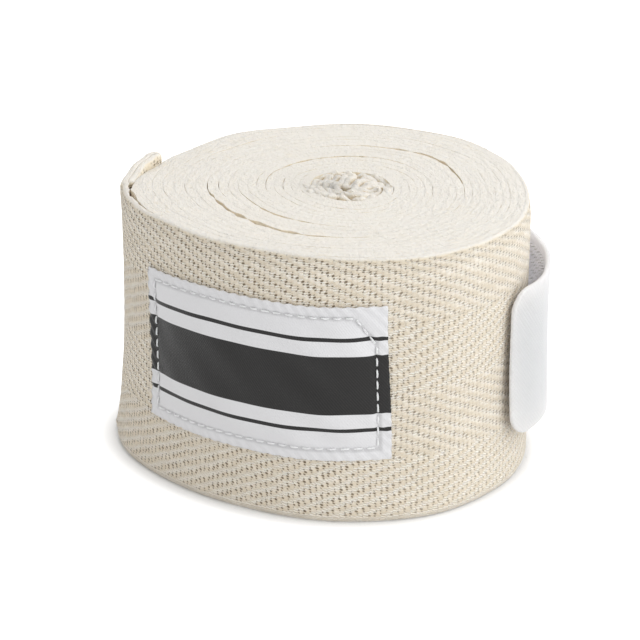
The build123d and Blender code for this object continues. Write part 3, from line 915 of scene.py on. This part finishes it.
# %% The thumb loop
def loop_piece():
    """The strap: a band along the crumpled line, waved near its top, with an uneven top edge."""
    path = crumpled_line()
    travel = unit(np.roll(path, -1, 0) - np.roll(path, 1, 0))
    side = np.stack([travel[:, 1], -travel[:, 0]], 1)
    path = path + np.array([(CORE_RIGHT - CORE_LEFT) / 2, 0.0])
    shape = ring([0, .03, .1, .25, .45, .6, .72, .82, .9, .95, .98, 1], 6, 0.85)
    height = shape[1] * 46 * MM + 2 * MM
    upper = ease(height, 22 * MM, 49 * MM)[None, :]
    x, y = path[:, :1], path[:, 1:]
    wave = 0.30 * ripple(x, y, [0.0037, 0.0049, 0.0066], 21)
    wave = wave + 0.12 * ripple(x + 3 * height, y, [0.0023, 0.0031], 22)
    along = run_along(path)
    top = 49.92 * MM + 0.32 * MM * ripple(path[:, 0], path[:, 1], [0.0033, 0.0049, 0.009], 23)
    top = top + 0.24 * MM * ripple(along, 0, [0.0013, 0.0021, 0.0047, 0.011], 24)
    half = 0.42 * MM * (1 + 0.72 * ease(height, 42 * MM, 47 * MM))[None, :]
    top = np.minimum(top, 50.3 * MM)
    points = band(path, side, shape, 2 * MM, top, half, 0.7 * MM, wave * upper * 0.8 * MM)
    points[..., :2] += MIDDLE
    cloth_v = shape[1] * 48.9 * MM + 0.55 * MM + shape[2] * 0.9 * MM
    return skin("thumb_strap", points, along[:, None], cloth_v, tape_cotton, True), along[-1]


loop, loop_round = loop_piece()
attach(loop, "roll")
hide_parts("thumb_loop")
print(f"the thumb loop is {loop_round * 1000:.0f} mm round")

# %% [markdown]
# ## The label
#
# The label is a strip of white satin, sewn on all round with white thread. Thread pulled
# tight sinks into satin and puckers it, so the seam is a groove with a dimple at every
# stitch, and the rim beyond it waves a little. Each stitch is a short bead of thread.


# %% The outer face of a lap
def beside_lap(turn, height, out):
    """A point so far out from the middle of the cloth, at a turn and a height."""
    centre, radius, q = on_roll(turn)
    reach = radius + press(turn, height) + out
    return round_middle(centre + reach * np.cos(q), reach * np.sin(q), height)


def last_face(angle, height, out):
    """A point above the last lap's outer face, by plan angle in radians (negative, by the front)."""
    edge = ease(np.abs(height - TAPE_WIDTH / 2), 21.5 * MM, 24.3 * MM)
    return beside_lap(LAPS - angle / (2 * np.pi), height, TAPE_THICK / 2 + 0.2 * MM * edge + out)


label_low, label_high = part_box("label")
LABEL_Z = (label_low.z, label_high.z)
LABEL_MIDDLE = np.radians(248.7 - 360.0)
STITCH_PITCH = 2.2 * MM


# %% The label's seam
def seam_along(corners, pitch):
    """Stitches from corner to corner, each side divided evenly: their middles and directions."""
    middles, directions = [], []
    for start, end in zip(corners, corners[1:]):
        run = np.linalg.norm(end - start)
        count = max(1, int(round(run / pitch)))
        share = (np.arange(count) + 0.5) / count
        middles.append(start + (end - start) * share[:, None])
        directions.append(np.repeat([(end - start) / run], count, 0))
    return np.concatenate(middles), np.concatenate(directions)


def label_corners():
    """Corners (s, h) of the label's seam, and the first again; one is cut across, as in haste."""
    a, b, cut = LABEL_LENGTH / 2 - SEAM_INSET, LABEL_HEIGHT / 2 - SEAM_INSET, 5.0 * MM
    return np.array([(-a, -b), (a - 0.4 * MM, -b + 0.3 * MM), (a, b - cut), (a - cut * 0.75, b),
                     (-a, b + 0.2 * MM), (-a, -b)])


seam_spots, seam_ways = seam_along(label_corners(), STITCH_PITCH)
print(len(seam_spots), "stitches round the label")


def pucker(s, h, spots, ways, pitch):
    """Height of the satin over its flat state, in metres.

    Groove: -0.20 mm * exp(-(d / 0.50 mm)^2) for the distance d to the nearest stitch, a
    line 0.84 of the pitch long, so that the stitches' grooves run together.
    Each stitch's end dips 0.14 mm more. Crown: the satin stands up by 0.22 mm between its
    seams. Rim: small waves of the stitches' own pitch. Creases: slanted ripples, up to
    0.32 mm and deeper towards the right end.
    """
    flat_s, flat_h = np.broadcast_arrays(s, h)
    ds = flat_s[..., None] - spots[:, 0]
    dh = flat_h[..., None] - spots[:, 1]
    along = ds * ways[:, 0] + dh * ways[:, 1]
    across = -ds * ways[:, 1] + dh * ways[:, 0]
    far = np.maximum(np.abs(along) - pitch * 0.42, 0)
    near = (across ** 2 + far ** 2).min(-1)
    ends = (across ** 2 + (np.abs(along) - pitch / 2) ** 2).min(-1)
    groove = -0.20 * MM * np.exp(-near / (0.50 * MM) ** 2)
    groove = groove - 0.14 * MM * np.exp(-ends / (0.40 * MM) ** 2)
    inside = np.minimum(LABEL_LENGTH / 2 - np.abs(flat_s), LABEL_HEIGHT / 2 - np.abs(flat_h))
    rim = 1 - ease(inside, 1.0 * MM, 3.4 * MM)
    phase = 2 * np.pi * (flat_s + flat_h) / pitch + 1.5 * ripple(flat_s, flat_h, [0.02], 31)
    waves = 0.12 * MM * rim * np.sin(phase)
    crown = 0.22 * MM * ease(inside, 2 * MM, 8 * MM)
    pulled = (0.10 + 0.22 * ease(flat_s, 4 * MM, 18 * MM)) * MM * ease(inside, 1.5 * MM, 4 * MM)
    creases = pulled * ripple(flat_s * 0.6 + flat_h, flat_s * 0.2, [0.005, 0.0075, 0.013], 32)
    return groove + waves + crown + creases + 0.22 * MM


def laid(s, h):
    """Where a place on the label comes to lie: its corners are drawn out of square by a millimetre."""
    left, right = ease(-s, 8 * MM, LABEL_LENGTH / 2), ease(s, 8 * MM, LABEL_LENGTH / 2)
    high = ease(h, -LABEL_HEIGHT / 2, LABEL_HEIGHT / 2)
    s = s - (1.3 * left * ease(h, -12 * MM, LABEL_HEIGHT / 2) + right * (1.45 * high - 0.6)) * MM
    return LABEL_MIDDLE + s / (37.7 * MM), sum(LABEL_Z) / 2 + h + (0.4 * right - 0.75 * left * high) * MM


def label_piece():
    """The label as a band whose outer face carries the puckers; its rim is slightly serrated."""
    side, up, tip = ring(np.linspace(0, 1, 64), 3)
    s = np.linspace(-LABEL_LENGTH / 2, LABEL_LENGTH / 2, 121)[:, None]
    h = (up - 0.5)[None, :] * (LABEL_HEIGHT - 0.3 * MM) + tip * 0.15 * MM
    h = h * (1 + 0.006 * np.sin(2 * np.pi * s / STITCH_PITCH))
    face = pucker(s, h, seam_spots, seam_ways, STITCH_PITCH)
    out = 0.06 * MM + 0.17 * MM * (1 + side) + face * (0.75 + 0.25 * side)
    points = last_face(*laid(s, h), out)
    return skin("satin_label", points, s + LABEL_LENGTH / 2, h + LABEL_HEIGHT / 2, label_satin)


label = label_piece()
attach(label, "roll")
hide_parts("label")


# %% Stitches
def stitches(name, spots, ways, surface, length, thick, sink):
    """Short beads of thread over a surface.

    A stitch of half length c is the curve c * q along its way for q from -1 to 1, raised by
    thick * (0.62 - 0.75 q^4) - sink over the surface, so that its ends dip in; its radius
    is thick / 2 times (1 - q^6)^(1/2).
    """
    q = np.linspace(-1, 1, 7)
    s = spots[:, :1] + ways[:, :1] * q * length / 2
    h = spots[:, 1:] + ways[:, 1:] * q * length / 2
    path = surface(s, h, thick * (0.62 - 0.75 * q ** 4) - sink)
    above, below = [surface(spots[:, :1], spots[:, 1:], out)[:, 0] for out in (1 * MM, 0.0)]
    radius = thick / 2 * np.sqrt(np.maximum(1 - np.abs(q) ** 6, 0.05))
    return tubes(name, path, above - below, radius, 8, white_thread)


def on_label(s, h, out):
    """A point over the label's outer face."""
    lift = pucker(s, h, seam_spots, seam_ways, STITCH_PITCH) + 0.40 * MM
    return last_face(*laid(s, h), out + lift)


label_thread = stitches("label_thread", seam_spots, seam_ways, on_label, 1.7 * MM, 0.36 * MM, 0.05 * MM)
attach(label_thread, "roll")
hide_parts("label_stitches")

# %% [markdown]
# ## The hook tab
#
# The closure is one strip of white hook tape. Its root, nearly a centimetre, is sewn on the
# hem with a box of stitches. The rest leads round the back, holds on a patch of pile, and ends on
# the right, where its end stands off the roll a little. In the model the strip turns about
# the end of the hem; here it is one mesh that runs across that hinge, baked in place.

# %% The tab's path
TAB_ROOT, TAB_THICK, TAB_WIDTH, TAB_CORNER = 8.6 * MM, 1.1 * MM, 28 * MM, 5 * MM
PATCH_THICK, SEWN, AIR, SIDE_RISE = 0.8 * MM, 0.05 * MM, 0.3 * MM, 2.2 * MM
TAB_END = np.radians(-36.5)


def tab_arcs():
    """Arcs (x, y, radius, start, sweep) under the tab's inner face: on the hem, over the patch, lifting.

    The second arc leaves the hem in line and touches a circle that clears the patch; the
    third leaves that point in line and stands off the roll by SIDE_RISE on the right.
    """
    seat = np.array([HEM_RADIUS - LAST_LEFT, 0.0])
    seat_radius = HEM_RADIUS + TAPE_THICK / 2 + SEWN
    root = (*seat, seat_radius, HEM_END + TAB_ROOT / seat_radius, -TAB_ROOT / seat_radius)
    centre, radius, _ = on_roll(np.array(LAPS - 0.25))
    lap = np.array([float(centre), 0.0])
    over = SEWN + PATCH_THICK + AIR
    reach = float(radius) + TAPE_THICK / 2 + over
    normal = np.array([np.cos(HEM_END), np.sin(HEM_END)])
    away = seat + seat_radius * normal - lap
    hug = (away @ away - reach ** 2) / 2 / (away @ normal - reach)
    hug_centre = lap + away - normal * hug
    inward = (lap - hug_centre) / np.linalg.norm(lap - hug_centre)
    touch = float(np.arctan2(inward[1], inward[0]))
    lift = (SIDE_RISE - over) / (1 - np.cos(touch))
    lift_centre = lap - inward * lift
    return [root, (*hug_centre, hug, HEM_END, touch - HEM_END),
            (*lift_centre, reach + lift, touch, TAB_END - touch)]


TAB = tab_arcs()
TAB_RUNS = np.array([abs(arc[2] * arc[4]) for arc in TAB])
TAB_FREE = TAB_RUNS[1:].sum()
root_low, root_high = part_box("tab_root")
TAB_MIDDLE = (root_low.z + root_high.z) / 2
print("tab in mm: sewn, hugging, lifting", (TAB_RUNS / MM).round(1))


def wave_of_tab(s, h):
    """The tab's free end cups by 0.35 mm across, leans out below, waves along and curls in by 1 mm."""
    cupped = 0.35 * MM * (h / (14 * MM)) ** 2
    waved = 0.16 * MM * ripple(s, h, [0.017, 0.029], 41)
    curled = 1.0 * MM * ease(s, TAB_FREE - 16 * MM, TAB_FREE)
    return ease(s, TAB_FREE - 45 * MM, TAB_FREE) * (cupped + waved - 0.04 * h) - curled


def on_tab(s, h, out):
    """A point `out` from the tab's inner face, s along it from the hinge and h up from its middle."""
    s, h, out = np.broadcast_arrays(s, h, out)
    s = s - 1.2 * MM * ease(s, TAB_FREE - 40 * MM, TAB_FREE)
    start = np.cumsum(TAB_RUNS) - TAB_RUNS
    gone = np.clip(s + TAB_RUNS[0], 0, TAB_RUNS.sum())
    piece = (gone[..., None] > start[1:]).sum(-1)
    arcs = np.array(TAB)[piece]
    q = arcs[..., 3] + arcs[..., 4] * (gone - start[piece]) / TAB_RUNS[piece]
    beyond = s + TAB_RUNS[0] - gone
    reach = arcs[..., 2] + out + wave_of_tab(s, h)
    x = arcs[..., 0] + reach * np.cos(q) + beyond * np.sin(q)
    y = arcs[..., 1] + reach * np.sin(q) - beyond * np.cos(q)
    z = TAB_MIDDLE + h + 0.6 * MM * ease(s, TAB_FREE - 24 * MM, TAB_FREE)
    return round_middle(x, y, z)


# %% The tab's skin
def rounded_half(width, corner, into):
    """Half the width of a strip, so far into its rounded corners: less corner - sqrt(corner^2 - into^2)."""
    return width / 2 - (corner - np.sqrt(np.maximum(corner ** 2 - into ** 2, 0)))


def tab_piece():
    """A band along the tab's path: rounded corners at the free end, and thin soft edges.

    The rows lie close at the hinge, where the strip bends, and at the rounded end. Within
    half a millimetre of its ends the strip thins by the square root of the way left, and a
    woven rib runs a millimetre inside each edge.
    """
    side, up, tip = ring(np.linspace(0, 1, 25), 3, 0.8)
    s = np.concatenate([np.linspace(-TAB_ROOT, -1.5 * MM, 9), np.linspace(-1.2 * MM, 1.2 * MM, 9),
                        np.linspace(1.8 * MM, TAB_FREE - 5.2 * MM, 84),
                        TAB_FREE - 5 * MM * (1 - np.sin(np.linspace(0.05, np.pi / 2, 14)))])[:, None]
    tall = rounded_half(TAB_WIDTH, TAB_CORNER, np.clip(s - (TAB_FREE - TAB_CORNER), 0, TAB_CORNER))
    cap = 0.35 * MM
    h = (up - 0.5) * 2 * (tall - cap) + tip * cap
    to_free_end = np.clip((TAB_FREE + 0.02 * MM - s) / (0.5 * MM), 0.2, 1)
    to_sewn_end = np.clip((s + TAB_ROOT + 0.02 * MM) / (0.5 * MM), 0.3, 1)
    half = 0.46 * MM + 0.05 * MM * np.exp(-((np.abs(h) - tall + 1.0 * MM) / (0.5 * MM)) ** 2)
    points = on_tab(s, h, TAB_THICK / 2 + side * half * np.sqrt(to_free_end * to_sewn_end))
    return skin("hook_tab", points, s + TAB_ROOT, h + TAB_WIDTH / 2, tab_nylon)


hook_tab = tab_piece()
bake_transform(hook_tab)
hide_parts("tab_root", "closure_tab")


# %% Hooks
def hooks_piece():
    """Rows of little hooks on the tab's inner face, but for its rounded corners.

    Each is one curve: up for 0.45 mm, then over a bend of 0.14 mm radius and back down.
    Some rows face the tab's end and some face its root.
    """
    columns, rows = np.arange(16 * MM, TAB_FREE - 3 * MM, 1.55 * MM), np.linspace(-12 * MM, 12 * MM, 16)
    s, h = [grid.ravel() for grid in np.meshgrid(columns, rows)]
    beyond, above = np.maximum(s - TAB_FREE + 6 * MM, 0), np.maximum(np.abs(h) - 8 * MM, 0)
    inside = np.hypot(beyond, above) < 6 * MM
    s, h = s[inside][:, None], h[inside][:, None]
    way = np.where(np.round(h / (1.6 * MM)) % 2 == 0, 1.0, -1.0)
    bend = np.linspace(np.pi, 0.15 * np.pi, 5)
    over = np.concatenate([[0, 0], 0.14 + 0.14 * np.cos(bend)]) * MM
    deep = np.concatenate([[-0.1, 0.2], 0.45 + 0.14 * np.sin(bend)]) * MM
    path = on_tab(s + way * over, h, 0.08 * MM - deep)
    upright = np.zeros((len(s), 3)) + [0, 0, 1.0]
    return tubes("tab_hooks", path, upright, 0.05 * MM, 4, pile_nylon)


hooks = hooks_piece()
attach(hooks, "tab")

# %% [markdown]
# ## The pile patch
#
# The hooks hold on a patch of pile, a thin backing with loops of soft nylon standing out
# of it. It shows once the tab is peeled off. The loops are short bows, turned at random.


# %% The patch
PATCH_LENGTH, PATCH_WIDTH, PATCH_CORNER = 50 * MM, 25 * MM, 3 * MM
PATCH_MIDDLE = np.radians(86.0)


def on_patch(s, h, out):
    """A point `out` from the lap under the patch, s along it (to the left) and h up from its middle."""
    turn = LAPS - (PATCH_MIDDLE + s / (36 * MM)) / (2 * np.pi)
    return beside_lap(turn, TAB_MIDDLE + h, TAPE_THICK / 2 + out)


def patch_piece():
    """The backing: a thin band with rounded corners, a third of a millimetre thick."""
    side, up, tip = ring(np.linspace(0, 1, 15), 3, 0.8)
    end = PATCH_LENGTH / 2
    bend = PATCH_CORNER * (1 - np.sin(np.linspace(0.03, np.pi / 2, 8)))
    straight = np.linspace(-end + 3.2 * MM, end - 3.2 * MM, 40)
    s = np.concatenate([-end + bend[::-1], straight, end - bend])[:, None]
    into = np.clip(np.abs(s) - (end - PATCH_CORNER), 0, PATCH_CORNER)
    tall = rounded_half(PATCH_WIDTH, PATCH_CORNER, into)
    h = (up - 0.5) * 2 * (tall - 0.15 * MM) + tip * 0.15 * MM
    points = on_patch(s, h, SEWN + 0.17 * MM * (1 + side))
    return skin("pile_backing", points, s + end, h + PATCH_WIDTH / 2, pile_nylon)


patch = patch_piece()
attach(patch, "roll")
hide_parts("loop_patch")


def pile_piece(count=1900):
    """Bows of pile: half ovals about 0.56 mm wide and 0.36 mm high, turned at random."""
    rng = np.random.default_rng(5)
    s = rng.uniform(-24.2, 24.2, (count, 1)) * MM
    h = rng.uniform(-11.8, 11.8, (count, 1)) * MM
    heading = rng.uniform(0, np.pi, (count, 1))
    q = np.linspace(0, np.pi, 5)
    wide = 0.28 * MM * np.cos(q) * rng.uniform(0.7, 1.3, (count, 1))
    tall = 0.36 * MM * np.sin(q) * rng.uniform(0.7, 1.15, (count, 1))
    path = on_patch(s + wide * np.cos(heading), h + wide * np.sin(heading), 0.36 * MM + tall)
    across = np.cross(path[:, -1] - path[:, 0], path[:, 2] - (path[:, 0] + path[:, -1]) / 2)
    return tubes("pile_bows", path, unit(across), 0.055 * MM, 4, pile_nylon)


pile = pile_piece()
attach(pile, "roll")

# %% [markdown]
# ## Thread on the hem and the tab
#
# One upright row of stitches holds the doubled hem, and a box of them with a cross in it
# holds the tab's root, as on any strap that has to take a pull.


# %% Hem and tab seams
def on_hem(s, h, out):
    """A point over the hem's outer face, s from the last lap's end, h above the tape's middle."""
    q = np.pi - s / HEM_RADIUS
    z = TAPE_WIDTH / 2 + h
    reach = HEM_RADIUS + TAPE_THICK / 2 + press(np.array(LAPS + 0.4999), z) + out
    return round_middle(HEM_RADIUS - LAST_LEFT + reach * np.cos(q), reach * np.sin(q), z)


hem_row = np.array([(2.45 * MM, -23 * MM), (2.45 * MM, 23 * MM)])
hem_spots, hem_ways = seam_along(hem_row, 3.3 * MM)
hem_thread = stitches("hem_thread", hem_spots, hem_ways, on_hem, 2.6 * MM, 0.42 * MM, 0.02 * MM)
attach(hem_thread, "roll")
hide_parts("hem_stitches")


# a box 5.8 mm by 24 mm with a cross in it, sewn in one go
A, B = 2.9 * MM, 12 * MM
box_and_cross = np.array([(-A, -B), (A, -B), (A, B), (-A, B), (-A, -B), (A, B), (-A, B), (A, -B)])
root_spots, root_ways = seam_along(box_and_cross, 2.3 * MM)


def on_root(s, h, out):
    """A point over the outer face of the tab's root."""
    return on_tab(s - TAB_ROOT / 2 - 0.2 * MM, h, out + TAB_THICK / 2 + 0.5 * MM)


tab_thread = stitches("tab_thread", root_spots, root_ways, on_root, 1.9 * MM, 0.42 * MM, 0.02 * MM)
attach(tab_thread, "roll")
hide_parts("tab_stitches")

# %% [markdown]
# ## Lint
#
# Cotton that has been handled sheds fine fibres, and most of them stand on the selvages.
# They soften the outline and blur the lines between laps. Each is a hair a few hundredths
# of a millimetre thick, bent over on its way.


# %% Lint
def lint_piece(count=5600):
    """Short hairs on the top and bottom edges of the laps, and a few on the outer face.

    Path: start + (up * u + bend * u^2 / 2) * length for u from 0 to 1.
    """
    rng = np.random.default_rng(8)
    turn = np.sqrt(rng.uniform(0.0, 1.0, count)) * (LAPS + 0.45)
    kind = rng.uniform(0, 1, count)
    above, below = kind < 0.72, kind > 0.86
    turn = np.where(above | below, turn, rng.uniform(LAPS - 0.5, LAPS + 0.45, count))
    on_face = rng.uniform(0.02, 0.98, count) * TAPE_WIDTH
    z = np.where(above, TAPE_WIDTH + top_rise(turn) - 0.12 * MM, np.where(below, 0.25 * MM, on_face))
    side = np.where(above | below, rng.uniform(-0.6, 0.6, count), 0.47) * MM
    start, q = beside_lap(turn, z, side), on_roll(turn)[2]
    out = np.stack([np.cos(q), np.sin(q), 0 * q], 1)
    free = rng.normal(0, 1, (count, 3))
    flat = (above & (rng.uniform(0, 1, count) < 0.6))[:, None]
    way = np.stack([-out[:, 1], out[:, 0], 0 * q], 1)
    up = free * 0.55 + np.where(flat, way + [0, 0, 0.15], np.where(
        above[:, None], [0, 0, 1.0], np.where(below[:, None], out * 0.4, out * 0.8)))
    up = unit(up)
    bend = rng.normal(0, 0.7, (count, 3)) - np.where(above[:, None], [0, 0, 0.9], out * 0.55)
    length = rng.uniform(0.25, 0.95, (count, 1)) * MM * np.where(above | below, 1.0, 0.8)[:, None]
    u = np.linspace(0, 1, 4)[None, :, None]
    path = start[:, None] + (up[:, None] * u + 0.5 * bend[:, None] * u ** 2) * length[:, None]
    path[..., 2] = np.clip(path[..., 2], 0.03 * MM, TAPE_WIDTH + 0.8 * MM)
    return tubes("lint", path, unit(np.cross(up, bend)), 0.014 * MM, 4, tape_cotton)


lint = lint_piece()
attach(lint, "roll")

# %% [markdown]
# ## Stage, light and camera
#
# The floor is plain and pale. For the camera and for reflections it turns white through
# Light Path, so the background is white without more light on the object. A wide soft lamp
# stands above and to the right, and the sky gives the rest. The camera looks down by 22
# degrees from half a metre away through a long lens.


# %% Stage
def seen_directly(tree):
    """1 for the camera, in reflections and through clear things, and 0 for the light itself."""
    path = add(tree, "ShaderNodeLightPath")
    camera, glossy, through = [Field(tree, path.outputs[ray]) for ray in (
        "Is Camera Ray", "Is Glossy Ray", "Is Transmission Ray")]
    return camera.math("MAXIMUM", glossy).math("MAXIMUM", through)


def stage_finish():
    """White for the camera through a glow, grey in the object's shadow and greyer close to it, where ambient
    occlusion dims the glow as a painted contact shadow; plain pale for light itself.
    """
    material = bpy.data.materials.new("stage_paper")
    material.use_nodes = True
    tree = material.node_tree
    shader = tree.nodes["Principled BSDF"]
    shader.inputs["Base Color"].default_value = (0.84, 0.84, 0.84, 1)
    shader.inputs["Roughness"].default_value = 0.9
    shader.inputs["Specular IOR Level"].default_value = 0.1
    shade = add(tree, "ShaderNodeAmbientOcclusion", {"Distance": 8 * MM}, samples=8)
    # painted contact shadow: the camera's glow fades where ambient occlusion finds the object within 8 mm
    bright = seen_directly(tree) * Field(tree, shade.outputs["AO"]).smooth(0.45, 0.93, 0.0, 0.64)
    glow = add(tree, "ShaderNodeEmission", {"Color": (1, 1, 1, 1), "Strength": bright})
    both = add(tree, "ShaderNodeAddShader", {0: shader.outputs[0], 1: glow.outputs[0]})
    fill(tree, tree.nodes["Material Output"].inputs["Surface"], both.outputs[0])
    return material


floor_mesh = bpy.data.meshes.new("floor")
floor_mesh.from_pydata([(-3, -3, 0), (3, -3, 0), (3, 3, 0), (-3, 3, 0)], [], [(0, 1, 2, 3)])
floor_mesh.materials.append(stage_finish())
floor = bpy.data.objects.new("floor", floor_mesh)
bpy.context.scene.collection.objects.link(floor)

world = bpy.data.worlds.new("sky")
bpy.context.scene.world = world
world.use_nodes = True
sky = world.node_tree
sky.nodes.clear()
brightness = seen_directly(sky) * 0.24 + 0.76
dim = add(sky, "ShaderNodeBackground", {"Color": (1, 1, 1, 1), "Strength": brightness})
add(sky, "ShaderNodeOutputWorld", {"Surface": dim.outputs[0]})


def lamp(name, place, aim, size, power):
    """A square soft lamp that faces a point."""
    light = bpy.data.lights.new(name, "AREA")
    light.size, light.energy, light.color = size, power, (0.97, 0.985, 1.0)
    thing = bpy.data.objects.new(name, light)
    thing.location = place
    thing.rotation_euler = (Vector(aim) - Vector(place)).to_track_quat("-Z", "Y").to_euler()
    bpy.context.scene.collection.objects.link(thing)


lamp("key", (0.40, 0.06, 0.62), (0, 0, 0.03), 0.7, 2.1)
lamp("fill", (0.45, -0.50, 0.30), (0, 0, 0.03), 0.6, 1.45)

# %% Camera
ELEVATION, DISTANCE, TILT = np.radians(21.94), 0.479, np.radians(1.42)
PICTURE, FOCAL, SHIFT_X, SHIFT_Y = 640, 2581, -8.2, -7.6     # in pixels
aim = Vector((MIDDLE[0], MIDDLE[1], 0.025))
back = Vector((0, -np.cos(ELEVATION), np.sin(ELEVATION)))
camera_data = bpy.data.cameras.new("camera")
camera_data.sensor_width, camera_data.lens = 36.0, 36.0 * FOCAL / PICTURE
camera_data.shift_x, camera_data.shift_y = SHIFT_X / PICTURE, SHIFT_Y / PICTURE
camera = bpy.data.objects.new("camera", camera_data)
bpy.context.scene.collection.objects.link(camera)
turn_about = Matrix.Rotation(TILT, 4, back)
camera.matrix_world = Matrix.Translation(aim + back * DISTANCE) @ (
    turn_about.to_3x3() @ (-back).to_track_quat("-Z", "Y").to_matrix()).to_4x4()
bpy.context.scene.camera = camera

bpy.context.scene.view_settings.view_transform = "Standard"

# %% Last update of the view layer
bpy.context.view_layer.update()
